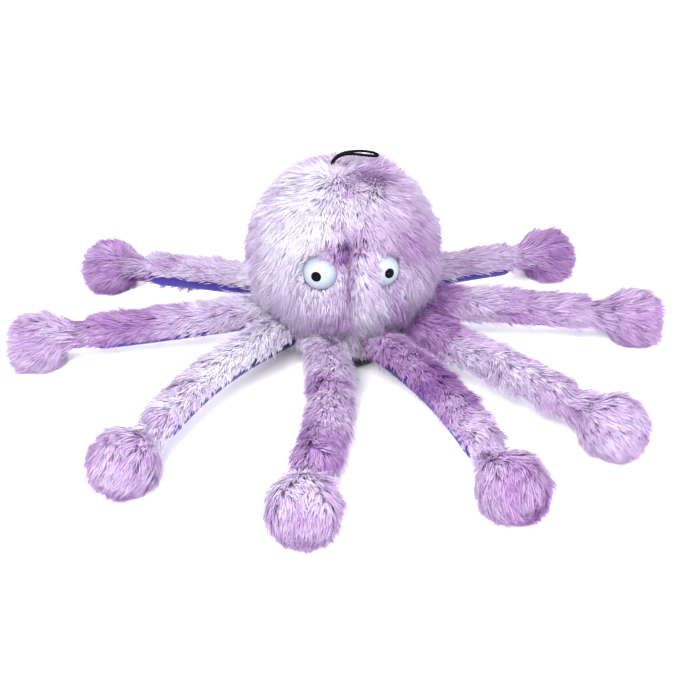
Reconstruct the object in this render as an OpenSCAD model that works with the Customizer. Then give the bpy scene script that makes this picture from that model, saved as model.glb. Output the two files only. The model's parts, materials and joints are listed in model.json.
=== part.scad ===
// Plush octopus: a round stuffed head on eight soft arms, each ending in a squeaking foot.
// The solids are the cloth, filling and fittings. The pile that covers the cloth is left to the looks.
// Front is -Y, up is +Z, and the origin is the middle of the base panel, on the surface it stands on.

/* [Head] */
// Radius of the head's cloth
head_r = 55; // [50:1:58]
// Height of the head's centre
head_z = 79; // [77:1:82]
// Radius of the collar under the head, which the arms are sewn round
collar_r = 35; // [32:1:36]
// Thickness of the plush cloth
cloth = 1.6; // [1.2:0.2:2]
// Thickness of the panel that closes the base
base_t = 2; // [1.5:0.5:3]

/* [Eyes] */
// Radius of an eye's dome
eye_r = 11; // [9:0.5:12]
// Angle of each eye from the middle of the face
eye_azimuth = 21; // [18:0.5:28]
// Angle by which the middle of the face is turned towards +X
face_turn = -2; // [-4:0.5:4]
// Angle of the eyes above the head's centre
eye_elevation = 7.5; // [5:0.5:20]
// Radius of a pupil
pupil_r = 3.3; // [2.5:0.1:4]
// Radius of the post that holds an eye
post_r = 2.2; // [1.5:0.1:2.5]

/* [Arms] */
// Radius of an arm's tube
arm_r = 9.5; // [8:0.5:10]
// Distance from the root of an arm to its ankle
arm_len = 147; // [120:1:160]
// Radius of the narrow ankle
ankle_r = 4.8; // [4:0.2:5]
// Radius of the round end that the foot turns on
ankle_ball_r = 6; // [5.5:0.25:6.5]
// Height of the arm roots
root_z = 25; // [24.5:0.5:26]
// Distance of the arm roots from the head's axis
root_r = 46; // [46:1:48]
// Angle by which the arms slope down
droop = 3; // [3:0.1:3.2]
// Share of the tube's turn that is smooth lining, in degrees
lining_turn = 130; // [100:5:150]

/* [Feet] */
// Radius of a foot
foot_r = 15.5; // [14:0.5:16]
// Straight length between a foot's two round ends
foot_straight = 4; // [0:1:6]
// Radius of a foot's squeaker
foot_squeaker_r = 10.5; // [9:0.5:10.5]

/* [Squeaker in the head] */
// Radius of the bulb
head_squeaker_r = 20; // [15:1:25]

/* [Hanging loop] */
// Diameter of the cord
cord_d = 2; // [1.5:0.5:2.5]

/* [Hidden] */
$fn = 64;
arm_count = 8;
// Direction in which each arm lies, turning from the front towards +X.
arm_heading = [18, 38.6, 80, 110, -120, -87.4, -39.9, -11.5];
// Angle by which each arm's lining is rolled from underneath, clockwise seen from the head.
arm_roll = [45, 12, 10, 35, -45, -25, -40, 0];
gap = 0.2;              // between a filling and the cloth round it
joint_gap = 0.3;        // between the ankle and the socket that turns on it
taper_len = 14;         // length over which an arm narrows to its ankle
ankle_len = 9;          // length of the narrow part
foot_c = foot_r + 1.3;  // from the ankle's centre to the foot's first round end
foot_mid = foot_c + foot_straight / 2;
bulb_wall = 1;
washer_r = 8;
washer_t = 1.5;
eye_back = head_r + 0.1;
pupil_depth = 1.5;
reed_r = 2.5;
reed_bore = 0.9;
reed_len = 9;
reed_slot_r = reed_r + 2 * gap;
big = 400;

// The cord's route from one sewn end to the other, measured from loop_root. It mirrors across y = 0.
loop_root = [-8, 0, 134.5];
loop_half = [
    [0, -1.1, 0], [0.2, -1.1, 3], [1.2, -1.1, 6], [3.2, -1.1, 8.8], [6, -1.2, 10.6], [9.5, -1.5, 11.7],
    [13, -2.2, 12], [17, -3.2, 11.9], [21, -3.9, 11.5], [25, -4, 10.9], [28.4, -3.2, 10.3], [30.4, -1.7, 9.8]
];
loop_tip = [31, 0, 9.6];
loop_route = concat(
    [for (p = loop_half) p + loop_root],
    [loop_tip + loop_root],
    [for (i = [len(loop_half) - 1:-1:0]) [loop_half[i].x, -loop_half[i].y, loop_half[i].z] + loop_root]
);
loop_sides = 8;

// ---- Head ----

// Outline of the head and collar on the radius and height plane, drawn in by d.
module head_outline(d, floor_z) {
    intersection() {
        union() {
            translate([0, head_z]) circle(r = head_r - d);
            translate([-collar_r + d, floor_z]) square([2 * (collar_r - d), head_z - floor_z]);
        }
        translate([0, floor_z]) square([big, big]);
    }
}

// One quarter of the head's cloth, from turn degrees round, with holes for the eye posts.
module head_panel(turn) {
    color("thistle") difference() {
        rotate_extrude(angle = 90, start = turn) difference() {
            head_outline(0, base_t);
            head_outline(cloth, 0);
        }
        for (side = [-1, 1])
            at_eye(side) translate([0, 0, -3 * cloth]) cylinder(r = post_r + gap, h = 6 * cloth);
    }
}

module base_panel() {
    color("darkslateblue") cylinder(r = collar_r, h = base_t);
}

module head_filling() {
    color("white") difference() {
        rotate_extrude() head_outline(cloth + gap, base_t + gap);
        translate([0, 0, head_z]) sphere(r = head_squeaker_r + gap);
        translate([0, 0, head_z - head_squeaker_r - 1]) cylinder(r = reed_slot_r, h = reed_len);
        for (side = [-1, 1])
            at_eye(side) translate([0, 0, -10]) cylinder(r = washer_r + gap, h = 10);
    }
}

// A hollow bulb with its whistle reed pushed into the hole at the bottom.
module squeaker(r) {
    color("ghostwhite") difference() {
        sphere(r = r);
        sphere(r = r - bulb_wall);
        translate([0, 0, -r - 1]) cylinder(r = reed_r + 0.05, h = r);
    }
    color("gold") translate([0, 0, -r - 0.5]) difference() {
        cylinder(r = reed_r, h = reed_len);
        translate([0, 0, -1]) cylinder(r = reed_bore, h = reed_len + 2);
    }
}

module head_squeaker() {
    translate([0, 0, head_z]) squeaker(head_squeaker_r);
}

// ---- Eyes ----

// Places children on the head's cloth where an eye is, with their +Z pointing outwards.
module at_eye(side) {
    translate([0, 0, head_z])
        rotate([0, 0, side * eye_azimuth + face_turn - 90])
            rotate([0, 90 - eye_elevation, 0])
                translate([0, 0, eye_back]) children();
}

module eye(side) {
    color("white") at_eye(side) difference() {
        union() {
            intersection() {
                sphere(r = eye_r);
                cylinder(r = 2 * eye_r, h = 2 * eye_r);
            }
            translate([0, 0, -8]) cylinder(r = post_r, h = 9);
        }
        translate([0, 0, eye_r - pupil_depth]) cylinder(r = pupil_r, h = 2 * pupil_depth);
    }
}

module pupils() {
    color("black") for (side = [-1, 1])
        at_eye(side) intersection() {
            sphere(r = eye_r);
            translate([0, 0, eye_r - pupil_depth]) cylinder(r = pupil_r, h = 2 * pupil_depth);
        }
}

// The press-on washers that lock the posts behind the cloth.
module eye_washers() {
    color("silver") for (side = [-1, 1])
        at_eye(side) translate([0, 0, -cloth - 0.8 - washer_t]) difference() {
            cylinder(r = washer_r, h = washer_t);
            translate([0, 0, -1]) cylinder(r = post_r + 0.05, h = washer_t + 2);
        }
}

// ---- Hanging loop ----

function unit(v) = v / norm(v);
function tangent(p, i) = unit(p[min(i + 1, len(p) - 1)] - p[max(i - 1, 0)]);
// A ring of points square to the cord at its point i, with the same sideways direction all along.
function ring(p, i, r, n) =
    let (t = tangent(p, i), u = unit(cross(t, [0.1, 0.2, 1])), v = cross(t, u))
    [for (k = [0:n - 1]) p[i] + r * (cos(360 * k / n) * u + sin(360 * k / n) * v)];

// A closed tube of radius r with n sides along the points p.
module tube(p, r, n) {
    rings = [for (i = [0:len(p) - 1]) each ring(p, i, r, n)];
    last = (len(p) - 1) * n;
    polyhedron(
        points = rings,
        faces = concat(
            [[for (k = [0:n - 1]) k]],
            [for (i = [0:len(p) - 2], k = [0:n - 1])
                [i * n + k, (i + 1) * n + k, (i + 1) * n + (k + 1) % n]],
            [for (i = [0:len(p) - 2], k = [0:n - 1])
                [i * n + k, (i + 1) * n + (k + 1) % n, i * n + (k + 1) % n]],
            [[for (k = [n - 1:-1:0]) last + k]]
        )
    );
}

module hanging_loop() {
    color("black") tube(loop_route, cord_d / 2, loop_sides);
}

// ---- Arms ----

// Places children at the root of arm i, with their +X pointing along the arm.
module at_root(i) {
    azimuth = (i - 0.5) * 360 / arm_count;
    translate([root_r * sin(azimuth), -root_r * cos(azimuth), root_z])
        rotate([0, 0, arm_heading[i - 1] - 90])
            rotate([0, droop, 0]) children();
}

// Turns a solid of revolution about Z so that it runs along +X, with turn 0 underneath.
module lay_along() {
    rotate([0, 90, 0]) children();
}

// Outline of half an arm, drawn in by d: a round root, a straight tube, a taper and a ball at the ankle.
module arm_outline(d) {
    r = arm_r - d;
    a = ankle_r - d;
    intersection() {
        union() {
            circle(r = r);
            polygon([[0, 0], [r, 0], [r, arm_len - taper_len - ankle_len], [a, arm_len - ankle_len],
                     [a, arm_len], [0, arm_len]]);
            translate([0, arm_len]) circle(r = ankle_ball_r - d);
        }
        translate([0, -big / 2]) square([big, big]);
    }
}

// The strip of an arm's cloth that spans turn degrees, from turn degree first on.
module arm_strip(i, first, turn) {
    at_root(i) lay_along() rotate_extrude(angle = turn, start = first - arm_roll[i - 1]) difference() {
        arm_outline(0);
        arm_outline(cloth);
    }
}

module arm_cover(i) {
    color("plum") arm_strip(i, lining_turn / 2, 360 - lining_turn);
}

module arm_lining(i) {
    color("darkslateblue") arm_strip(i, -lining_turn / 2, lining_turn);
}

module arm_filling(i) {
    color("white") at_root(i) lay_along() rotate_extrude() arm_outline(cloth + gap);
}

// ---- Feet ----

// Lays a foot's half outline at the ankle of arm i and turns it about the arm's line.
module turn_foot(i) {
    at_root(i) translate([arm_len, 0, 0]) lay_along() rotate_extrude() intersection() {
        children();
        translate([0, -big / 2]) square([big, big]);
    }
}

// Outline of a foot, drawn in by d, with the round hollow that the ankle turns in.
module foot_outline(d) {
    r = foot_r - d;
    difference() {
        union() {
            for (y = [foot_c, foot_c + foot_straight]) translate([0, y]) circle(r = r);
            translate([-r, foot_c]) square([2 * r, foot_straight]);
        }
        circle(r = ankle_ball_r + joint_gap + d);
    }
}

module foot_cover(i) {
    color("thistle") turn_foot(i) difference() {
        foot_outline(0);
        foot_outline(cloth);
    }
}

module foot_filling(i) {
    color("white") turn_foot(i) difference() {
        foot_outline(cloth + gap);
        translate([0, foot_mid]) circle(r = foot_squeaker_r + gap);
        translate([-reed_slot_r, foot_mid]) square([2 * reed_slot_r, foot_squeaker_r + 1]);
    }
}

module foot_squeaker(i) {
    at_root(i) translate([arm_len + foot_mid, 0, 0])
        lay_along() rotate([180, 0, 0]) squeaker(foot_squeaker_r);
}

head_panel(-90);  // head_panel_front_left
head_panel(180);  // head_panel_front_right
head_panel(0);  // head_panel_back_left
head_panel(90);  // head_panel_back_right
base_panel();
head_filling();
head_squeaker();
eye(1);  // left_eye
eye(-1);  // right_eye
pupils();
eye_washers();
hanging_loop();
for (i = [1:arm_count]) {
    arm_cover(i);
    arm_lining(i);
    arm_filling(i);
    foot_cover(i);
    foot_filling(i);
    foot_squeaker(i);
}
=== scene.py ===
import json
import math

import bpy
import numpy as np
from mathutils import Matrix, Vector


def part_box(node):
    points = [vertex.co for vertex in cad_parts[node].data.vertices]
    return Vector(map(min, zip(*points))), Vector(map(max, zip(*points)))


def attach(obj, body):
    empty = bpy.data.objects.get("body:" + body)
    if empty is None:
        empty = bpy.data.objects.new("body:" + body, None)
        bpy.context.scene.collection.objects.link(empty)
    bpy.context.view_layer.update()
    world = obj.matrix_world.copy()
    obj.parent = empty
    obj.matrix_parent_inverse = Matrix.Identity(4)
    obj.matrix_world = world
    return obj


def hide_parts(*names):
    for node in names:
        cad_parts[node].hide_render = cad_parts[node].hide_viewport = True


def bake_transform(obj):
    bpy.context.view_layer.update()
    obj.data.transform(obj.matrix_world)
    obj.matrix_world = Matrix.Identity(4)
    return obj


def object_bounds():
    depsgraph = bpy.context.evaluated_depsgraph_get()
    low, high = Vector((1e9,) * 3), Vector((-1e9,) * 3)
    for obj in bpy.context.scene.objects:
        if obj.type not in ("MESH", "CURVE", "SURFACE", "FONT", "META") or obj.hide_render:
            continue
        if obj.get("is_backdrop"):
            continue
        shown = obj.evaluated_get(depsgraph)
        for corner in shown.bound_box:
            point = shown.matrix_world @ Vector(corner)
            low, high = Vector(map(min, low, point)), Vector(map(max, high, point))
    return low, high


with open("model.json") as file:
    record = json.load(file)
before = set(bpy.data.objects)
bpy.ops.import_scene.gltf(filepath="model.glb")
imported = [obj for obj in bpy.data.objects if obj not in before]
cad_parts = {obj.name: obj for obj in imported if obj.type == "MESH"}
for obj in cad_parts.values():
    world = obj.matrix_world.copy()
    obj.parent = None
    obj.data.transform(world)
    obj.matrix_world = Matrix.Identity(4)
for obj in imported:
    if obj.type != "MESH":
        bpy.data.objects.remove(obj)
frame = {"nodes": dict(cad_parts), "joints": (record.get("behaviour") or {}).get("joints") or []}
cad_box = [list(corner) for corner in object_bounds()]

# ---- Camera ----
# A medium-long lens looks down on the toy from the front, a little to the toy's own right of its face. It is
# aimed at the middle of the eight feet, just above the floor.
mm = 0.001
view_turn = math.radians(-8.0)
view_rise = math.radians(28.8)
view_distance = 885 * mm
view_aim = np.array([1.7, 0.0, 3.5]) * mm
lens_length = 65.3

towards_camera = np.array([
    math.sin(view_turn) * math.cos(view_rise),
    -math.cos(view_turn) * math.cos(view_rise),
    math.sin(view_rise),
])
camera = bpy.data.objects.new("camera", bpy.data.cameras.new("camera"))
bpy.context.scene.collection.objects.link(camera)
camera.data.lens = lens_length
camera.data.clip_start = 0.05
camera.location = view_aim + view_distance * towards_camera
camera.rotation_euler = (math.pi / 2 - view_rise, 0, view_turn)
bpy.context.scene.camera = camera


# ---- Hanging loop ----
# A 2 mm black cotton cord, laid of three plies. It is folded double, both ends are sewn into the crown
# where the four gores meet, and the bight falls over to one side on top of the pile.
loop_diameter = 2.0 * mm
loop_plies = 3
ply_twist = 2.4 * mm
ply_depth = 0.10
loop_foot = np.array([-8.0, 0.0, 134.5]) * mm
loop_half = np.array([
    [0, -1.1, 0], [0.2, -1.1, 3], [1.2, -1.1, 6], [3.2, -1.1, 8.8], [6, -1.2, 10.6], [9.5, -1.5, 11.7],
    [13, -2.2, 12], [17, -3.2, 11.9], [21, -3.9, 11.5], [25, -4, 10.9], [28.4, -3.2, 10.3], [30.4, -1.7, 9.8],
]) * mm
loop_tip = np.array([[31, 0, 9.6]]) * mm


def colour(hex_code):
    """An sRGB hex colour as linear red, green, blue and alpha: the standard sRGB curve, undone."""
    share = np.array([int(hex_code[i:i + 2], 16) for i in (0, 2, 4)]) / 255
    linear = np.where(share <= 0.04045, share / 12.92, ((share + 0.055) / 1.055) ** 2.4)
    return (*linear.tolist(), 1.0)


def add_node(tree, kind, links=None, values=None, **settings):
    """Adds one node to a material, with its settings, its plain values and its incoming links."""
    made = tree.nodes.new("ShaderNode" + kind)
    for name, value in settings.items():
        setattr(made, name, value)
    for socket, value in (values or {}).items():
        made.inputs[socket].default_value = value
    for socket, source in (links or {}).items():
        tree.links.new(source, made.inputs[socket])
    return made


def new_material(name, **values):
    """An empty material with one Principled shader, whose plain values are given by socket name."""
    made = bpy.data.materials.new(name)
    made.use_nodes = True
    tree = made.node_tree
    tree.nodes.clear()
    shader = add_node(tree, "BsdfPrincipled", values={k.replace("_", " "): v for k, v in values.items()})
    add_node(tree, "OutputMaterial", {"Surface": shader.outputs[0]})
    return made, tree, shader


def unit(vectors):
    """Each vector divided by its length."""
    return vectors / np.maximum(np.linalg.norm(vectors, axis=-1, keepdims=True), 1e-12)


def new_piece(name, points, face_sets, materials, material_index=None, dye=None):
    """A mesh object at the origin from arrays of points and faces, with an optional colour on each point."""
    mesh = bpy.data.meshes.new(name)
    mesh.vertices.add(len(points))
    mesh.vertices.foreach_set("co", points.astype(np.float32).ravel())
    sizes = np.concatenate([np.full(len(faces), faces.shape[1]) for faces in face_sets])
    corners = np.concatenate([faces.ravel() for faces in face_sets])
    mesh.loops.add(len(corners))
    mesh.loops.foreach_set("vertex_index", corners.astype(np.int32))
    mesh.polygons.add(len(sizes))
    mesh.polygons.foreach_set("loop_start", (np.cumsum(sizes) - sizes).astype(np.int32))
    mesh.polygons.foreach_set("use_smooth", np.ones(len(sizes), bool))
    if material_index is not None:
        slots = np.concatenate([np.full(len(faces), i) for faces, i in zip(face_sets, material_index)])
        mesh.polygons.foreach_set("material_index", slots.astype(np.int32))
    if dye is not None:
        attribute = mesh.color_attributes.new("dye", "FLOAT_COLOR", "POINT")
        attribute.data.foreach_set("color", dye.astype(np.float32).ravel())
    mesh.update(calc_edges=True)
    for material in materials:
        mesh.materials.append(material)
    made = bpy.data.objects.new(name, mesh)
    bpy.context.scene.collection.objects.link(made)
    return made


def smooth_line(stops, per_span):
    """A curve through the stops: each span is the cubic whose slopes are half the chord past each end."""
    ends = np.concatenate([[2 * stops[0] - stops[1]], stops, [2 * stops[-1] - stops[-2]]])
    a, b, c, d = (ends[i:len(ends) - 3 + i, None] for i in range(4))
    t = np.linspace(0, 1, per_span, endpoint=False)[None, :, None]
    spans = 0.5 * (2 * b + (c - a) * t + (2 * a - 5 * b + 4 * c - d) * t**2 + (3 * b - a - 3 * c + d) * t**3)
    return np.concatenate([spans.reshape(-1, 3), stops[-1:]])


def grid_quads(rows, columns, wrap):
    """Quads between the neighbours on a grid of points, row by row, closed round the columns if wrap."""
    i, j = np.meshgrid(np.arange(rows - 1), np.arange(columns if wrap else columns - 1), indexing="ij")
    k = (j + 1) % columns
    corners = [i * columns + j, (i + 1) * columns + j, (i + 1) * columns + k, i * columns + k]
    return np.stack(corners, -1).reshape(-1, 4)


def laid_cord(name, line, radius, material):
    """A closed tube along a line, whose radius rises and falls round the section as the plies turn: at an
    angle a and a distance s along it, the radius is r (1 - d + d cos(plies a + 2 pi s / twist))."""
    sides = 18
    never_along = np.array([0.1, 0.2, 1.0])
    along = unit(np.gradient(line, axis=0))
    travelled = np.concatenate([[0], np.cumsum(np.linalg.norm(np.diff(line, axis=0), axis=1))])
    across = unit(np.cross(along, never_along))
    third = np.cross(along, across)
    turn = np.linspace(0, 2 * np.pi, sides, endpoint=False)[None, :]
    phase = loop_plies * turn + 2 * np.pi * travelled[:, None] / ply_twist
    reach = (radius * (1 - ply_depth + ply_depth * np.cos(phase)))[..., None]
    outward = np.cos(turn)[..., None] * across[:, None] + np.sin(turn)[..., None] * third[:, None]
    points = (line[:, None] + reach * outward).reshape(-1, 3)
    ends = np.stack([np.arange(sides)[::-1], np.arange(sides) + (len(line) - 1) * sides])
    quads = grid_quads(len(line), sides, True)
    return new_piece(name, points, [quads[:, ::-1], ends], [material])


# Dyed cotton is matt and gives back almost no light. Its fibres, about 0.4 mm apart, break up the edge.
cord_black, tree, shader = new_material("black_cotton_cord", Base_Color=colour("040405"), Roughness=0.9)
shader.inputs["Specular IOR Level"].default_value = 0.1
where = add_node(tree, "TexCoord").outputs["Object"]
fibre = add_node(tree, "TexNoise", {"Vector": where}, {"Scale": 2600.0, "Detail": 3.0})
bump = add_node(tree, "Bump", {"Height": fibre.outputs[0]}, {"Strength": 0.5, "Distance": 0.0002})
tree.links.new(bump.outputs[0], shader.inputs["Normal"])

loop_stops = np.concatenate([loop_half, loop_tip, loop_half[::-1] * [1, -1, 1]]) + loop_foot
loop_line = smooth_line(loop_stops, 12)
loop_cord = laid_cord("loop_cord", loop_line, loop_diameter / 2, cord_black)
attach(loop_cord, "loop")
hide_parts("hanging_loop")


# ---- Studio ----
# A matt white floor and soft white light: a broad key from the front, a fill on the right, a top light and
# a back light, in a white room. Light is followed through many bounces, because pale pile passes it on.
floor_white, tree, shader = new_material("studio_floor", Base_Color=colour("fbfbfc"), Roughness=0.9)
floor_half = 4.0
floor_points = floor_half * np.array([[-1, -1, 0], [1, -1, 0], [1, 1, 0], [-1, 1, 0]], float)
floor = new_piece("studio_floor", floor_points, [np.array([[0, 1, 2, 3]])], [floor_white])
floor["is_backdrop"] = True

for lamp_name, place, size, power in (
    ("key_light", (-0.35, -0.95, 0.9), 0.6, 28.5),
    ("fill_light", (1.0, -0.7, 0.6), 0.9, 8.0),
    ("top_light", (0.0, 0.1, 1.5), 1.2, 11.5),
    ("back_light", (-0.4, 1.2, 0.7), 0.9, 8.0),
):
    lamp = bpy.data.objects.new(lamp_name, bpy.data.lights.new(lamp_name, "AREA"))
    lamp.data.shape = "DISK"
    lamp.data.size = size
    lamp.data.energy = power
    lamp.location = place
    away = -unit(np.array(place, float))
    lamp.rotation_euler = (math.acos(-away[2]), 0, math.atan2(-away[0], away[1]))
    bpy.context.scene.collection.objects.link(lamp)

room = bpy.data.worlds.new("white_room")
room.use_nodes = True
room.node_tree.nodes["Background"].inputs["Color"].default_value = colour("fbfbff")
room.node_tree.nodes["Background"].inputs["Strength"].default_value = 1.5
bpy.context.scene.world = room
bpy.context.scene.view_settings.view_transform = "Standard"
bpy.context.scene.cycles.diffuse_bounces = 10
bpy.context.scene.cycles.transmission_bounces = 12


# ---- Eyes ----
# Domed safety eyes, injection moulded in white ABS with a satin skin. The pupil is a black disc set flush
# in the dome, and a post on the back goes through the cloth into a pressed steel washer.
eye_radius = 11.0 * mm

# Cool white ABS with a fine spark-eroded skin, which spreads the lamps into a soft patch on the dome. The
# colour drifts a little over some 10 mm, and the skin's grain is under 1 mm.
eye_white, tree, shader = new_material("satin_white_abs", Roughness=0.42, IOR=1.53)
where = add_node(tree, "TexCoord").outputs["Object"]
haze = add_node(tree, "TexNoise", {"Vector": where}, {"Scale": 90.0, "Detail": 2.0})
tone = add_node(tree, "Mix", {"Factor": haze.outputs[0]}, data_type="RGBA")
tone.inputs[6].default_value = colour("7f8694")
tone.inputs[7].default_value = colour("8d94a1")
tree.links.new(tone.outputs[2], shader.inputs["Base Color"])
grain = add_node(tree, "TexNoise", {"Vector": where}, {"Scale": 1500.0, "Detail": 2.0})
bump = add_node(tree, "Bump", {"Height": grain.outputs[0]}, {"Strength": 0.12, "Distance": 0.0001})
tree.links.new(bump.outputs[0], shader.inputs["Normal"])

# Black ABS, polished in the mould, but flat and small, so that it shows hardly any reflection.
pupil_black, tree, shader = new_material("gloss_black_abs", Base_Color=colour("020203"), Roughness=0.3,
                                         IOR=1.5)
shader.inputs["Specular IOR Level"].default_value = 0.06
where = add_node(tree, "TexCoord").outputs["Object"]
grain = add_node(tree, "TexNoise", {"Vector": where}, {"Scale": 1800.0, "Detail": 2.0})
bump = add_node(tree, "Bump", {"Height": grain.outputs[0]}, {"Strength": 0.1, "Distance": 0.0001})
tree.links.new(bump.outputs[0], shader.inputs["Normal"])

# Stamped sheet steel. The press leaves ripples of about a millimetre, which blur its shine.
washer_steel, tree, shader = new_material("stamped_steel", Base_Color=colour("b9bbbe"), Metallic=1.0,
                                          Roughness=0.35)
where = add_node(tree, "TexCoord").outputs["Object"]
ripple = add_node(tree, "TexNoise", {"Vector": where}, {"Scale": 900.0, "Detail": 4.0})
bump = add_node(tree, "Bump", {"Height": ripple.outputs[0]}, {"Strength": 0.2, "Distance": 0.0001})
tree.links.new(bump.outputs[0], shader.inputs["Normal"])

for node_name, finish in (("left_eye", eye_white), ("right_eye", eye_white), ("pupils", pupil_black),
                          ("eye_washers", washer_steel)):
    fitting = frame["nodes"][node_name]
    fitting.data.materials.clear()
    fitting.data.materials.append(finish)


# ---- Squeakers ----
# Bulbs of blown PVC, one in the head and one in each foot, each with a reed pressed into its neck. They sit
# in the stuffing, so they show only when the cloth is taken off.

# Ivory vinyl with a waxy skin. It flowed unevenly in the mould, in patches about 8 mm across.
squeaker_vinyl, tree, shader = new_material("blown_pvc", Roughness=0.4, IOR=1.53)
shader.inputs["Coat Weight"].default_value = 0.2
where = add_node(tree, "TexCoord").outputs["Object"]
flow = add_node(tree, "TexNoise", {"Vector": where}, {"Scale": 120.0, "Detail": 3.0})
tone = add_node(tree, "Mix", {"Factor": flow.outputs[0]}, data_type="RGBA")
tone.inputs[6].default_value = colour("e9e6dc")
tone.inputs[7].default_value = colour("f4f2ea")
tree.links.new(tone.outputs[2], shader.inputs["Base Color"])
bump = add_node(tree, "Bump", {"Height": flow.outputs[0]}, {"Strength": 0.15, "Distance": 0.0003})
tree.links.new(bump.outputs[0], shader.inputs["Normal"])

arm_numbers = range(1, 9)
for node_name in ["head_squeaker"] + [f"foot_{k}_squeaker" for k in arm_numbers]:
    bulb = frame["nodes"][node_name]
    bulb.data.materials.clear()
    bulb.data.materials.append(squeaker_vinyl)


# ---- Head ----
# Four gores of long-pile polyester plush, sewn edge to edge from the crown to the collar and stuffed firm.
# The pile is brushed down from the crown, and the seam between the eyes is drawn in, so the pile parts there.
gore_names = ("front_left", "front_right", "back_left", "back_right")
# The head's ball, its collar and the eyes' places come from the CAD pieces that the cloth has to meet.
panel_boxes = [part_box(f"head_panel_{part}") for part in gore_names]
head_radius = max(high.x for _, high in panel_boxes)
crown_height = max(high.z for _, high in panel_boxes)
head_middle = np.array([0, 0, crown_height - head_radius])
collar_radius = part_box("base_panel")[1].x
cloth = 1.6 * mm
hem_height = 14 * mm
head_last = math.pi - math.atan2(collar_radius, head_middle[2] - hem_height)
pupil_points = np.empty(3 * len(frame["nodes"]["pupils"].data.vertices))
frame["nodes"]["pupils"].data.vertices.foreach_get("co", pupil_points)
pupil_points = pupil_points.reshape(-1, 3)
eye_ways = unit(np.array([pupil_points[pupil_points[:, 0] > 0].mean(0),
                          pupil_points[pupil_points[:, 0] < 0].mean(0)]) - head_middle)
eye_middles = head_middle + eye_ways * (head_radius + 0.1 * mm)
face_turn = np.degrees(np.arctan2(eye_ways[:, 0], -eye_ways[:, 1])).mean()
# Each hollow in the face: turn from its middle and rise in degrees, width and height in degrees, depth.
face_hollows = (
    (0, 22, 5.0, 16, 8.0 * mm),
    (-1, -8, 4.5, 22, 7.5 * mm),
    (-8, 17, 4.0, 4.5, 5.0 * mm),
    (-9, 28, 12.0, 3.0, 4.5 * mm),
    (9, 26, 10.0, 3.0, 3.5 * mm),
    (0, 36, 14.0, 3.0, 1.8 * mm),
)


def hollow_depth(fall, turn):
    """How far the face is drawn in, at an angle down from the crown and a turn from the front. It is a sum of
    bells, each depth x exp(-(turn / width)^2 - (rise / height)^2) about its own middle."""
    rise = 90 - np.degrees(fall)
    turn = (np.degrees(turn) - face_turn + 180) % 360 - 180
    return sum(depth * np.exp(-((turn - t) / width) ** 2 - ((rise - r) / height) ** 2)
               for t, r, width, height, depth in face_hollows)


def aim(turn, rise):
    """The unit direction at a turn from the front and a rise above level."""
    return np.stack([np.sin(turn) * np.cos(rise), -np.cos(turn) * np.cos(rise), np.sin(rise)], -1)


def head_cloth(fall, turn):
    """The head's cloth: a ball that flows into the collar where the collar's own distance is the longer. The
    distance from the head's middle is e ln(exp(ball / e) + exp(collar / e)), less the hollows."""
    collar = collar_radius / np.maximum(np.sin(fall), 0.05)
    collar = np.where(fall > np.pi / 2, collar, 0)
    ease = 2.5 * mm
    reach = ease * np.logaddexp(head_radius / ease, collar / ease) - hollow_depth(fall, turn)
    return head_middle + reach[..., None] * aim(turn, np.pi / 2 - fall)


def frame_on(surface, u, v):
    """The point, outward normal and two tangents of a surface, from small steps either way in u and v."""
    step = 5e-4
    along = (surface(u + step, v) - surface(u - step, v)) / (2 * step)
    around = (surface(u, v + step) - surface(u, v - step)) / (2 * step)
    return surface(u, v), unit(np.cross(along, around)), along, around


def drawn_together(rows):
    """A grid whose first and last rows become one point each where the surface closes there."""
    rows = rows.copy()
    for end in (0, -1):
        if np.ptp(rows[end], axis=0).max() < 0.02 * mm:
            rows[end] = rows[end].mean(0)
    return rows


def welded(points, quads):
    """Joins points that coincide, and turns a quad with two joined corners into a triangle."""
    _, first, index = np.unique(np.round(points, 7), axis=0, return_index=True, return_inverse=True)
    quads = index.ravel()[quads]
    differs = quads != np.roll(quads, -1, axis=1)
    corners = differs.sum(1)
    thirds = quads[corners == 3][differs[corners == 3]].reshape(-1, 3)
    return points[first], quads[corners == 4], thirds


def shell(surface, u, v, thickness, wrap=False):
    """A closed wall: the surface on a grid, the same surface a thickness further in, and the rims between."""
    grid_u, grid_v = np.meshgrid(u, v, indexing="ij")
    _, normal, _, _ = frame_on(surface, np.clip(grid_u, u[0] + 1e-3, u[-1] - 1e-3), grid_v)
    point = surface(grid_u, grid_v)
    inner = drawn_together(point - thickness * normal)
    point = drawn_together(point)
    rows, columns = grid_u.shape
    outer = grid_quads(rows, columns, wrap)
    index = np.arange(rows * columns).reshape(rows, columns)
    inside = rows * columns
    rims = [] if wrap else [(index[::-1, 0], False), (index[:, -1], False)]
    rims += [(index[0], wrap), (index[-1, ::-1], wrap)]
    walls = []
    for edge, closed in rims:
        before, after = (edge, np.roll(edge, -1)) if closed else (edge[:-1], edge[1:])
        walls.append(np.stack([before, after, after + inside, before + inside], -1))
    points = np.concatenate([point.reshape(-1, 3), inner.reshape(-1, 3)])
    return welded(points, np.concatenate([outer, outer[:, ::-1] + inside, *walls]))


def cloudy(points, size, seed):
    """Soft noise of about -1 to 1: a sum of waves of about one size that run in random directions, divided by
    1.6 times its root mean square."""
    rng = np.random.default_rng(seed)
    waves = 20
    ways = unit(rng.normal(size=(waves, 3))) * (2 * np.pi / size) * rng.uniform(0.6, 1.5, (waves, 1))
    return np.sin(points @ ways.T + rng.uniform(0, 2 * np.pi, waves)).sum(-1) / (1.6 * math.sqrt(waves / 2))


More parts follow.
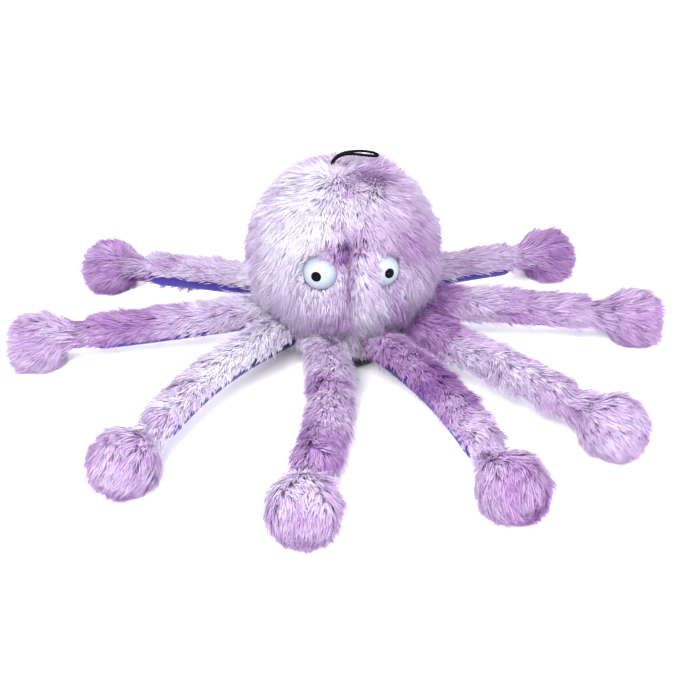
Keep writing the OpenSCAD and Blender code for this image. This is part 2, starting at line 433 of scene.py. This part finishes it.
def scattered(surface, u_range, v_range, count):
    """Evenly spread places on a surface: the k-th is k / p and k / p^2 less their whole parts, where
    p^3 = p + 1, bent so that equal areas get equal shares."""
    step_u, step_v = 0.7548776662, 0.5698402910
    u = np.linspace(*u_range, 300)
    _, _, along, around = frame_on(surface, u, np.full_like(u, np.mean(v_range)))
    area = np.linalg.norm(np.cross(along, around), axis=-1)
    share = np.concatenate([[0], np.cumsum((area[1:] + area[:-1]) / 2)])
    k = np.arange(count)
    first, second = (0.5 + step_u * k) % 1, (0.5 + step_v * k) % 1
    return np.interp(first, share / share[-1], u), v_range[0] + second * (v_range[1] - v_range[0])


# The dye runs from bleached white through lilac to purple: its strength, and the pile's colour at the tip and
# at
# the root. The root colours are darker: painted shade for the depth of the pile between the locks.
dye_steps = (0.0, 0.25, 0.5, 0.75, 1.0)
tip_colours = np.array([colour(c) for c in ("f6f3fb", "eae0f1", "e0cae7", "cfa8d9", "b07ec4")])
shaded_root_colours = np.array([colour(c) for c in ("ecebf6", "dac6ea", "c7a2da", "ad77c8", "8a4ca9")])

# A lock bends at the knee, which is flatter than it is wide. One tuft in ten stands up out of the rest. Below
# the crush height the toy's weight presses the pile down towards the floor.
knee_share = 0.45
knee_flatness = 0.35
stray_share = 0.10
crush_height = 4 * mm
floor_gap = 0.3 * mm


def dyed(table, strength):
    """The colour for each dye strength, read from a table of steps."""
    return np.stack([np.interp(strength, dye_steps, table[:, i]) for i in range(4)], -1)


def grow_pile(surface, u, v, comb, length, dye, seed, per_tuft=20, spread=2.7 * mm, width=0.8 * mm,
              leans=(34, 68), gather=0.38, ruffle=4, shape=None):
    """Pile in tufts. Each lock leans along the comb, by the first angle from the normal as far as its knee
    and by the second beyond it, and draws in to its tuft's middle. A lock is a spindle: a root point, a
    three-sided knee and a tip. Below the crush height h, a height z becomes
    g + (h - g) exp((z - h) / (h - g)), which never reaches the gap g."""
    rng = np.random.default_rng(seed)
    tufts = len(u)
    centre, normal, along, around = frame_on(surface, u, v)
    combed = comb(centre)
    combed = unit(combed - (combed * normal).sum(-1, keepdims=True) * normal)
    sideways = np.cross(combed, normal)
    swing = rng.normal(0, 0.12, (tufts, 1))
    combed, sideways = (combed * np.cos(swing) + sideways * np.sin(swing),
                        sideways * np.cos(swing) - combed * np.sin(swing))
    offsets = rng.normal(0, 0.6, (tufts, per_tuft, 2)) * spread
    pace_u = np.linalg.norm(along, axis=-1)[:, None]
    pace_v = np.maximum(np.linalg.norm(around, axis=-1), 2 * mm)[:, None]
    root = surface(u[:, None] + offsets[..., 0] / pace_u, v[:, None] + offsets[..., 1] / pace_v)
    stray = rng.random(tufts) < stray_share
    full = length * rng.uniform(0.82, 1.12, tufts) * np.where(stray, 1.15, 1.0)
    full = full[:, None] * rng.uniform(0.62, 1.08, (tufts, per_tuft))
    tilt = rng.normal(0, ruffle, (tufts, 1)) + rng.normal(0, 4, (tufts, per_tuft)) - 6 * stray[:, None]
    drift = rng.normal(0, 0.10, (tufts, per_tuft, 1))
    draw = gather * (root - centre[:, None])
    n, c, w = normal[:, None], combed[:, None], sideways[:, None]
    steps = []
    for lean in leans:
        angle = np.radians(lean + tilt)[..., None]
        steps.append(unit(n * np.cos(angle) + c * np.sin(angle) + w * drift) * full[..., None])
    knee = root + knee_share * (steps[0] - draw)
    tip = knee + (1 - knee_share) * (steps[1] - draw)
    ridge = n * np.sin(angle) - c * np.cos(angle)
    half = (width / 2 * rng.uniform(0.7, 1.3, (tufts, per_tuft)))[..., None]
    spindle = [root, knee + w * half, knee + ridge * half * knee_flatness, knee - w * half, tip]
    points = np.stack(spindle, -2).reshape(-1, 3)
    if shape is not None:
        points = shape(points)
    height = points[:, 2]
    give = crush_height - floor_gap
    crushed = floor_gap + give * np.exp((height - crush_height) / give)
    points[:, 2] = np.where(height < crush_height, crushed, height)
    sides = ((1, 2), (2, 3), (3, 1))
    faces = np.array([[a, b, 0] for a, b in sides] + [[a, 4, b] for a, b in sides])
    faces = (5 * np.arange(tufts * per_tuft)[:, None, None] + faces).reshape(-1, 3)
    strength = dye(centre)[:, None] + rng.normal(0, 0.07, (tufts, 1)) + rng.normal(0, 0.05, (tufts, per_tuft))
    strength = np.clip(strength, 0, 1).ravel()
    # How far each of a lock's five points has gone from the root's darker colour, painted shade, to the
    # tip's.
    gone = np.array([0, 0.6, 0.6, 0.6, 1.0])[:, None]
    tints = dyed(shaded_root_colours, strength)[:, None] * (1 - gone) + dyed(tip_colours, strength)[:, None] * gone
    tints[..., :3] *= rng.uniform(0.94, 1.04, (len(tints), 1, 1))
    return points, faces, tints.reshape(-1, 4)


def plush(name, wall, pile, dye):
    """One piece of a closed cloth wall and the pile that grows from it, coloured point by point."""
    points, quads, thirds = wall
    locks, lock_faces, tints = pile
    # The backing takes the pile's darker root colour, painted shade where the pile parts.
    shaded_wall_colours = dyed(shaded_root_colours, np.clip(dye(points), 0, 1))
    return new_piece(name, np.concatenate([points, locks]), [quads, thirds, lock_faces + len(points)],
                     [backing_knit, pile_fibre], (0, 0, 1), np.concatenate([shaded_wall_colours, tints]))


# The pile is silky brushed polyester. It has a soft sheen, and much of the light comes through the fibres.
pile_fibre, tree, shader = new_material("brushed_polyester_pile", Roughness=0.6, Sheen_Roughness=0.4)
shader.inputs["Sheen Weight"].default_value = 0.3
shader.inputs["Sheen Tint"].default_value = colour("f6eeff")
shader.inputs["Specular IOR Level"].default_value = 0.25
dye_read = add_node(tree, "Attribute", attribute_name="dye")
tree.links.new(dye_read.outputs["Color"], shader.inputs["Base Color"])
glow = add_node(tree, "BsdfTranslucent", {"Color": dye_read.outputs["Color"]})
both = add_node(tree, "MixShader", {1: shader.outputs[0], 2: glow.outputs[0]}, {0: 0.6})
tree.links.new(both.outputs[0], tree.nodes["Material Output"].inputs["Surface"])

# The backing is a knit that shows only where the pile parts, coloured as painted shade. Its stitches are
# about a millimetre apart.
backing_knit, tree, shader = new_material("backing_knit", Roughness=0.9)
dye_read = add_node(tree, "Attribute", attribute_name="dye")
where = add_node(tree, "TexCoord").outputs["Object"]
knit = add_node(tree, "TexVoronoi", {"Vector": where}, {"Scale": 900.0})
bump = add_node(tree, "Bump", {"Height": knit.outputs[0]}, {"Strength": 0.4, "Distance": 0.0003})
tree.links.new(dye_read.outputs["Color"], shader.inputs["Base Color"])
tree.links.new(bump.outputs[0], shader.inputs["Normal"])

# Each cloud on the head, of dye except one of painted shade in the pocket beside the first eye: turn and rise
# in degrees, size in degrees, strength.
head_clouds = (
    (-85, 18, 20, 0.30),
    (-6, 30, 13, 0.34),
    (20, 38, 16, 0.22),
    (48, 20, 22, 0.34),
    (75, 5, 34, 0.22),
    (40, 72, 20, 0.32),
    (-14, -28, 12, 0.22),
    (-4, -6, 8, 0.24),
    (34, -18, 11, 0.26),
    # Painted shade: a dark cloud in the pocket beside the first eye, over the hollow there.
    (-10, 18, 6, 0.60),
    (-40, 45, 34, -0.24),
    (22, 56, 14, -0.15),
    (-45, 8, 18, -0.16),
    (10, -14, 9, -0.34),
    (160, 20, 40, 0.30),
    (-150, -10, 40, 0.25),
)


def head_dye_and_shade(points):
    """The dye's strength on the head: a ground of soft noise, the clouds laid on it as bells, and the hollows
    darkened by their depth as painted shade."""
    way = unit(points - head_middle)
    fall, turn = np.arccos(np.clip(way[..., 2], -1, 1)), np.arctan2(way[..., 0], -way[..., 1])
    strength = 0.17 + 0.11 * cloudy(points, 45 * mm, 3) + 0.08 * cloudy(points, 16 * mm, 4)
    for t, r, size, amount in head_clouds:
        apart = np.degrees(np.arccos(np.clip(way @ aim(math.radians(t), math.radians(r)), -1, 1)))
        strength = strength + amount * np.exp(-((apart / size) ** 2))
    # Painted shade: each hollow is darkened by 48 times its depth.
    return strength + 48 * hollow_depth(fall, turn)


def nearer_eye(points):
    """How far each point lies from the nearer eye's axis, the way out from that axis, and whether that eye is
    the first."""
    out = points[..., None, :] - eye_middles
    ahead = (out * eye_ways).sum(-1, keepdims=True)
    across = out - ahead * eye_ways
    far = np.where(ahead[..., 0] < -20 * mm, 1.0, np.linalg.norm(across, axis=-1))
    nearer = far.argmin(-1)
    away = unit(np.take_along_axis(across, nearer[..., None, None], -2)[..., 0, :])
    return far.min(-1), away, nearer == 0


def head_comb(points):
    """The head's pile lies down from the crown, parts at the seam between the eyes, and flows round each eye.
    At the inner side of the first eye it falls across the eye's edge."""
    far, away, first = nearer_eye(points)
    way = points - head_middle
    front = np.clip(-way[..., 1] / head_radius, 0, 1)
    low = np.clip(1.2 - way[..., 2] / (0.55 * head_radius), 0, 1)
    seam = way[..., 0] - math.tan(math.radians(face_turn)) * -way[..., 1]
    part = np.sign(seam) * np.exp(-((seam / (12 * mm)) ** 2)) * front * low
    inner_side = first * np.clip(-away[..., 0], 0, 1)
    near = np.exp(-(((far - eye_radius) / (6 * mm)) ** 2)) * (1.3 - 2.6 * inner_side)
    whorl = np.stack([cloudy(points, 34 * mm, 11), cloudy(points, 34 * mm, 12), 0 * far], -1)
    comb = np.array([0, 0, -1.0]) + near[..., None] * away + 0.33 * whorl
    return comb + 0.9 * part[..., None] * np.array([1.0, 0, 0])


def clear_of_eyes(points):
    """Moves what would lie in an eye's dome out to just beyond it."""
    room = eye_radius + 0.5 * mm
    for middle in eye_middles:
        out = points - middle
        far = np.linalg.norm(out, axis=-1, keepdims=True)
        points = np.where(far < room, middle + out / np.maximum(far, 1e-6) * room, points)
    return points


head_pile = 18 * mm
tufts_per_gore = 1350
quarter = math.pi / 2
for number, (part, first_turn) in enumerate(zip(gore_names, (0.0, -quarter, quarter, -2 * quarter))):
    last_turn = first_turn + quarter
    wall = shell(head_cloth, np.linspace(0, head_last, 60), np.linspace(first_turn, last_turn, 28), cloth)
    u, v = scattered(head_cloth, (0.02, head_last - 0.05), (first_turn, last_turn), tufts_per_gore)
    far, away, first = nearer_eye(head_cloth(u, v))
    keep = far > eye_radius - 0.6 * mm
    u, v, far, away, first = u[keep], v[keep], far[keep], away[keep], first[keep]
    # The pile is short round the eyes, except on the inner side of the first. It is short in the hollows, at
    # the hem, and over the crown, most of all in front.
    room = np.clip((far - eye_radius) / (9 * mm), 0, 1) + first * np.clip(-away[:, 0], 0, 1)
    length = head_pile * (0.42 + 0.58 * np.clip(room, 0, 1))
    length = length * (1 - 0.6 * np.clip(hollow_depth(u, v) / (6 * mm), 0, 1))
    ahead = np.clip(np.cos(v + 0.5), 0, 1)
    length = length * (1 - 0.6 * (0.5 + 0.5 * ahead) * np.clip(1.3 - u / 0.3, 0, 1))
    length = length * (0.6 + 0.4 * np.clip((head_last - u) / 0.3, 0, 1))
    pile = grow_pile(head_cloth, u, v, head_comb, length, head_dye_and_shade, 21 + number, leans=(30, 62),
                     shape=clear_of_eyes)
    gore = plush(f"head_gore_{part}", wall, pile, head_dye_and_shade)
    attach(gore, "head")
    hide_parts(f"head_panel_{part}")


# ---- Head wadding ----
# Loose hollow-fibre polyester, packed firm round the squeaker. It fills the head to just inside the cloth, is
# dished behind each eye for the post and washer, and lies flat on the base.
head_inset = 2.2 * mm
base_gap = 2.4 * mm
corner_distance = 72 * mm
squeaker_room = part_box("head_squeaker")[1].x + 0.3 * mm

# Undyed crimped fibre, felted on itself: white and matt, with a faint sheen. The crimp's waves, 2 to 3 mm
# long, make its surface fluffy.
wadding_fibre, tree, shader = new_material("hollow_fibre_wadding", Base_Color=colour("f4f3f0"),
                                           Roughness=0.95)
shader.inputs["Sheen Weight"].default_value = 0.4
where = add_node(tree, "TexCoord").outputs["Object"]
crimp = add_node(tree, "TexNoise", {"Vector": where}, {"Scale": 420.0, "Detail": 5.0, "Distortion": 2.0})
bump = add_node(tree, "Bump", {"Height": crimp.outputs[0]}, {"Strength": 0.8, "Distance": 0.0012})
tree.links.new(bump.outputs[0], shader.inputs["Normal"])


def head_stuffing(fall, turn):
    """The cloth's surface drawn in by the inset, dished behind each eye, and cut off by two planes: the base
    and its corner."""
    out = head_cloth(fall, turn) - head_middle
    way = unit(out)
    reach = np.linalg.norm(out, axis=-1) - head_inset
    for eye_way in eye_ways:
        apart = np.arccos(np.clip(way @ eye_way, -1, 1)) * head_radius
        reach = reach - 4 * mm * np.exp(-((apart / (11 * mm)) ** 4))
    for tilt, distance in ((math.pi, head_middle[2] - base_gap), (3 * math.pi / 4, corner_distance)):
        reach = np.minimum(reach, distance / np.maximum(np.cos(tilt - fall), 0.02))
    return head_middle + reach[..., None] * way


def closed_skin(surface, u, v, outward=True):
    """A surface that closes at both ends, as points, quads and triangles that face outwards or inwards."""
    grid_u, grid_v = np.meshgrid(u, v, indexing="ij")
    points = drawn_together(surface(grid_u, grid_v)).reshape(-1, 3)
    quads = grid_quads(len(u), len(v), True)
    return welded(points, quads if outward else quads[:, ::-1])


def joined(*skins):
    """Several sets of points, quads and triangles as one."""
    starts = np.cumsum([0] + [len(skin[0]) for skin in skins[:-1]])
    return (np.concatenate([skin[0] for skin in skins]),
            [np.concatenate([skin[1] + start for skin, start in zip(skins, starts)]),
             np.concatenate([skin[2] + start for skin, start in zip(skins, starts)])])


falls = np.linspace(0, np.pi, 70)
turns = np.linspace(0, 2 * np.pi, 96, endpoint=False)
outer_skin = closed_skin(head_stuffing, falls, turns)
inner_skin = closed_skin(lambda fall, turn: head_middle + squeaker_room * aim(turn, np.pi / 2 - fall),
                         np.linspace(0, np.pi, 24), np.linspace(0, 2 * np.pi, 32, endpoint=False), False)
wadding = new_piece("head_wadding", *joined(outer_skin, inner_skin), [wadding_fibre])
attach(wadding, "head")
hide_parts("head_filling")


# ---- Base ----
# A round of the satin that also lines the arms closes the bottom. It is coloured dark navy all over, which is
# painted shade for the shadow under the head. It is turned up a little way under the arms, where the gores
# are sewn to it.
base_wall = 1.0 * mm
base_corner = 13 * mm

# Woven polyester satin, dyed indigo. Under the head and at the arms' roots it is coloured dark navy, painted
# shade. Its smooth floats give it a low shine. They are drawn 0.45 mm apart, coarser than they are, so as to
# show, and slubs of 4 mm vary the dye.
# Dark navy, painted shade under the head and at the arms' roots.
satin_painted_shade = np.array(colour("07061f"))
satin_indigo = np.array(colour("2e247e"))

satin_lining, tree, shader = new_material("indigo_polyester_satin", Roughness=0.5)
shader.inputs["Specular IOR Level"].default_value = 0.2
where = add_node(tree, "TexCoord").outputs["Object"]
slub = add_node(tree, "TexNoise", {"Vector": where}, {"Scale": 260.0, "Detail": 3.0})
dye_read = add_node(tree, "Attribute", attribute_name="dye")
tone = add_node(tree, "Mix", data_type="RGBA", blend_type="MULTIPLY")
tone.inputs[0].default_value = 0.35
tree.links.new(dye_read.outputs["Color"], tone.inputs[6])
tree.links.new(slub.outputs[0], tone.inputs[7])
tree.links.new(tone.outputs[2], shader.inputs["Base Color"])
weave = add_node(tree, "TexWave", {"Vector": where}, {"Scale": 700.0, "Distortion": 1.5, "Detail": 1.0})
bump = add_node(tree, "Bump", {"Height": weave.outputs[0]}, {"Strength": 0.25, "Distance": 0.0002})
tree.links.new(bump.outputs[0], shader.inputs["Normal"])


def base_dish(u, v):
    """Upright at the hem, a quarter round at the corner, then flat: u goes from the hem to the middle, and
    v is the turn."""
    corner, edge = base_corner, collar_radius - 0.2 * mm
    lengths = np.array([0, hem_height + 1 * mm - corner, corner * np.pi / 2, edge - corner])
    gone = np.cumsum(lengths)
    bend = np.clip((u - gone[1]) / corner, 0, np.pi / 2)
    drop = np.clip(u, 0, gone[1]) + corner * np.sin(bend)
    radius = edge - corner * (1 - np.cos(bend)) - np.clip(u - gone[2], 0, None)
    height = hem_height + 1 * mm - drop
    return np.stack([radius * np.sin(v), -radius * np.cos(v), height + 0 * v], -1)


base_run = hem_height + 0.8 * mm + collar_radius - (2 - math.pi / 2) * base_corner
base_skin = shell(base_dish, np.linspace(0, base_run, 40), turns, base_wall, True)
# Coloured dark navy all over: painted shade.
base = new_piece("base_lining", base_skin[0], list(base_skin[1:]), [satin_lining],
                 dye=np.tile(satin_painted_shade, (len(base_skin[0]), 1)))
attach(base, "head")
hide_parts("base_panel")


# ---- Arms ----
# Eight tubes of the same plush, each closed along its underside with a strip of the satin and filled
# loosely. The plush narrows at the ankle and runs on into the foot.
hinge = {joint["name"]: joint for joint in frame["joints"]}
arm_radius = 9.5 * mm
ankle_radius = 4.8 * mm
taper_length = 14 * mm
ankle_length = 9 * mm
into_foot = 4 * mm
lining_half_turn = math.radians(65)
# Angle by which each arm's lining is rolled from underneath, and how far the arm bows sideways and up.
arm_rolls = (45, 12, 10, 35, -45, -25, -40, 0)
arm_bows = np.array([[6, 2], [1, 1], [-1, 1], [0, 2], [0, 2], [0, -1], [-7, 3], [8, 0]]) * mm
# Dye strength from each arm's root to its toe, at the same stations, and how much darker the underside is
# painted, as shade beneath the arm.
dye_stations = np.array([0, 25, 50, 75, 100, 125, 147, 165, 185]) * mm
arm_dyes = (
    ((0.65, 0.66, 0.82, 0.98, 0.55, 0.30, 0.44, 0.48, 0.72), 0.20),
    ((1.00, 0.80, 0.30, 0.32, 0.40, 0.36, 0.46, 0.30, 0.30), 0.25),
    ((1.00, 0.80, 0.28, 0.50, 0.56, 0.40, 0.50, 0.54, 0.46), 0.20),
    ((0.90, 0.70, 0.45, 0.34, 0.34, 0.50, 0.60, 0.74, 0.68), 0.15),
    ((0.05, 0.06, 0.12, 0.20, 0.30, 0.44, 0.72, 0.80, 0.50), 0.10),
    ((0.20, 0.16, 0.26, 0.56, 0.80, 0.66, 0.36, 0.52, 0.42), 0.15),
    ((0.20, 0.10, 0.02, 0.14, 0.26, 0.26, 0.22, 0.42, 0.48), 0.30),
    ((0.12, 0.34, 0.42, 0.42, 0.56, 0.68, 0.34, 0.34, 0.44), 0.15),
)
arm_pile = 15 * mm
tufts_per_arm = 640
# Near the ankle the pile is longer and stands up more, which closes the gap between the arm and the foot.
ankle_pile_extra = 11 * mm
ankle_pile_start = 26 * mm
ankle_pile_full = 20 * mm


def turned(start, along, across, profile, bow=(0, 0), length=1.0):
    """A surface turned about a line: u is the way along the profile, and v the turn from underneath."""
    gone = np.concatenate([[0], np.cumsum(np.linalg.norm(np.diff(profile, axis=0), axis=1))])
    up = np.cross(along, across)

    def surface(u, v):
        x, r = np.interp(u, gone, profile[:, 0]), np.interp(u, gone, profile[:, 1])
        bend = np.sin(np.pi * np.clip(x / length, 0, 1))[..., None]
        middle = start + x[..., None] * along + bend * (bow[0] * across + bow[1] * up)
        return middle - (r * np.sin(v))[..., None] * across - (r * np.cos(v))[..., None] * up

    return surface, gone[-1]


def arc(middle, radius, start, stop, steps=16):
    """Points of a round stretch of a profile: the angle is measured from backwards along the line."""
    angle = np.radians(np.linspace(start, stop, steps))
    return np.stack([middle - radius * np.cos(angle), radius * np.sin(angle)], -1)


def arm_profile(length, inset, end):
    """Half outline of an arm: a round root, a straight tube, and an eased taper to the ankle's neck."""
    ease = np.linspace(0, 1, 12)
    neck = length - taper_length - ankle_length + ease * taper_length
    fall = arm_radius - (arm_radius - ankle_radius) * ease**2 * (3 - 2 * ease)
    root = arc(0, arm_radius - inset, 0, 90)
    straight = np.stack([np.linspace(0, neck[0], 30)[1:-1], np.full(28, arm_radius - inset)], -1)
    return np.concatenate([root, straight, np.stack([neck, fall - inset], -1), end])


def dye_and_shade_along(start, along, up, amounts, shade_beneath, seed):
    """The dye's strength on an arm and its foot: read along the arm, with soft noise and painted shade
    beneath.
    """
    def strength(points):
        out = points - start
        travelled = out @ along + 5 * mm * cloudy(points, 40 * mm, seed)
        # Painted shade: the strength rises over the lowest 14 mm towards the underside.
        low = np.clip(-(out @ up) / (14 * mm), 0, 1)
        noise = 0.10 * cloudy(points, 30 * mm, seed + 1) + 0.08 * cloudy(points, 11 * mm, seed + 2)
        return np.interp(travelled, dye_stations, amounts) + shade_beneath * low + noise
    return strength


arms = []
for k, roll, bow, (amounts, shade_beneath) in zip(arm_numbers, arm_rolls, arm_bows, arm_dyes):
    start = np.array(hinge[f"arm_{k}_lift"]["pos_m"])
    ankle = np.array(hinge[f"foot_{k}_flex"]["pos_m"])
    along = unit(ankle - start)
    across = -unit(np.array(hinge[f"arm_{k}_lift"]["axis"]))
    up = np.cross(along, across)
    length = float(np.linalg.norm(ankle - start))
    roll = math.radians(roll)
    dye = dye_and_shade_along(start, along, up, amounts, shade_beneath, 40 + 3 * k)
    arms.append((k, ankle, along, across, up, dye))

    def arm_comb(points):
        """The arm's pile lies towards the foot, droops a little, and is ruffled."""
        ruffle = [cloudy(points, 26 * mm, 70 + k), cloudy(points, 26 * mm, 80 + k), 0 * points[..., 0]]
        return along - 0.35 * up + 0.45 * np.stack(ruffle, -1)

    open_end = np.array([[length, ankle_radius], [length + into_foot, ankle_radius]])
    arm_cloth, run = turned(start, along, across, arm_profile(length, 0, open_end), bow, length)
    first, last = roll + lining_half_turn, roll + 2 * np.pi - lining_half_turn
    wall = shell(arm_cloth, np.linspace(0, run, 60), np.linspace(first, last, 20), cloth)
    u, v = scattered(arm_cloth, (4 * mm, run - 2 * mm), (first + 0.06, last - 0.06), tufts_per_arm)
    hem = np.minimum(v - first, last - v)
    # The pile is shorter along the hems and at the root.
    near_ankle = np.clip((u - run + ankle_pile_start) / ankle_pile_full, 0, 1)
    tall = arm_pile * (0.62 + 0.38 * np.clip(hem / 0.9, 0, 1)) * (0.6 + 0.4 * np.clip(u / (25 * mm), 0, 1))
    tall = tall + ankle_pile_extra * near_ankle
    stand = 12 * near_ankle[:, None]
    pile = grow_pile(arm_cloth, u, v, arm_comb, tall, dye, 100 + k, leans=(44 - stand, 72 - stand),
                     gather=0.3, ruffle=3)
    cover = plush(f"arm_{k}_plush", wall, pile, dye)
    strip_turns = np.linspace(roll - lining_half_turn, roll + lining_half_turn, 12)
    strip = shell(arm_cloth, np.linspace(0, run, 60), strip_turns, base_wall)
    # Painted shade: the lining is dark navy at the arm's root, fading to its own indigo over the first 60 mm.
    light = np.clip((strip[0] - start) @ along / (60 * mm), 0, 1)[:, None]
    lining = new_piece(f"arm_{k}_satin", strip[0], list(strip[1:]), [satin_lining],
                       dye=satin_painted_shade * (1 - light) + satin_indigo * light)
    blunt = arc(length, ankle_radius - 2 * mm, 90, 180, 8)
    stuffing, run = turned(start, along, across, arm_profile(length, 2 * mm, blunt), bow, length)
    skin = closed_skin(stuffing, np.linspace(0, run, 60), np.linspace(0, 2 * np.pi, 24, endpoint=False))
    filling = new_piece(f"arm_{k}_wadding", skin[0], list(skin[1:]), [wadding_fibre])
    for piece in (cover, lining):
        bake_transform(piece)
    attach(filling, f"arm_{k}")
    for piece, node_name, slot in ((cover, "cover", "arm_plush"), (lining, "lining", "lining"),
                                   (filling, "filling", "filling")):
        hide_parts(f"arm_{k}_{node_name}")


# ---- Feet ----
# Round pouches of the same plush at the ends of the arms. Each is stuffed round its squeaker, and its pile
# spreads from the ankle over the toe.
foot_radius = 15.5 * mm
foot_middle = 16.8 * mm
foot_straight = 4 * mm
neck_radius = 5.6 * mm
foot_pile = 15 * mm
tufts_per_foot = 370
foot_squeaker_room = 10.8 * mm


def foot_profile(inset):
    """Half outline of a foot, from its neck, round the heel, along a short straight and round the toe."""
    neck = math.degrees(math.asin(neck_radius / foot_radius))
    return np.concatenate([arc(foot_middle, foot_radius - inset, neck, 90),
                           arc(foot_middle + foot_straight, foot_radius - inset, 90, 180)])


for k, ankle, along, across, up, dye in arms:
    def foot_comb(points):
        """The foot's pile spreads from the ankle over the toe, and droops."""
        ruffle = [cloudy(points, 22 * mm, 90 + k), cloudy(points, 22 * mm, 95 + k), 0 * points[..., 0]]
        out = points - (ankle + foot_middle * along)
        spread = out - (out @ along)[..., None] * along
        return along + 12 * spread - 0.4 * up + 0.4 * np.stack(ruffle, -1)

    foot_cloth, run = turned(ankle, along, across, foot_profile(0))
    round_turns = np.linspace(0, 2 * np.pi, 32, endpoint=False)
    wall = shell(foot_cloth, np.linspace(0, run, 28), round_turns, cloth, True)
    u, v = scattered(foot_cloth, (1 * mm, run - 0.3 * mm), (0, 2 * np.pi), tufts_per_foot)
    # The pile is shorter at the ankle and over the toe, and lies flat round the heel.
    toe = np.clip(2.4 * u / run - 1.4, 0, 1)
    tall = foot_pile * (0.7 + 0.3 * np.clip(u / (12 * mm), 0, 1)) * (1 - 0.45 * toe)
    heel = np.clip(1 - u / (14 * mm), 0, 1)[:, None]
    pile = grow_pile(foot_cloth, u, v, foot_comb, tall, dye, 200 + k, leans=(46 + 34 * heel, 76 + 12 * heel),
                     gather=0.3, ruffle=4)
    cover = plush(f"foot_{k}_plush", wall, pile, dye)
    stuffing, run = turned(ankle, along, across, foot_profile(2 * mm))
    thickness = foot_radius - 2 * mm - foot_squeaker_room
    skin = shell(stuffing, np.linspace(0, run, 20), round_turns, thickness, True)
    filling = new_piece(f"foot_{k}_wadding", skin[0], list(skin[1:]), [wadding_fibre])
    for piece, node_name, slot in ((cover, "cover", "foot_plush"), (filling, "filling", "filling")):
        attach(piece, f"foot_{k}")
        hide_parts(f"foot_{k}_{node_name}")


# The CAD model's box and this model's, so that the two can be compared.
size = {"cad_box": cad_box, "visual_box": [list(corner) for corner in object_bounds()]}
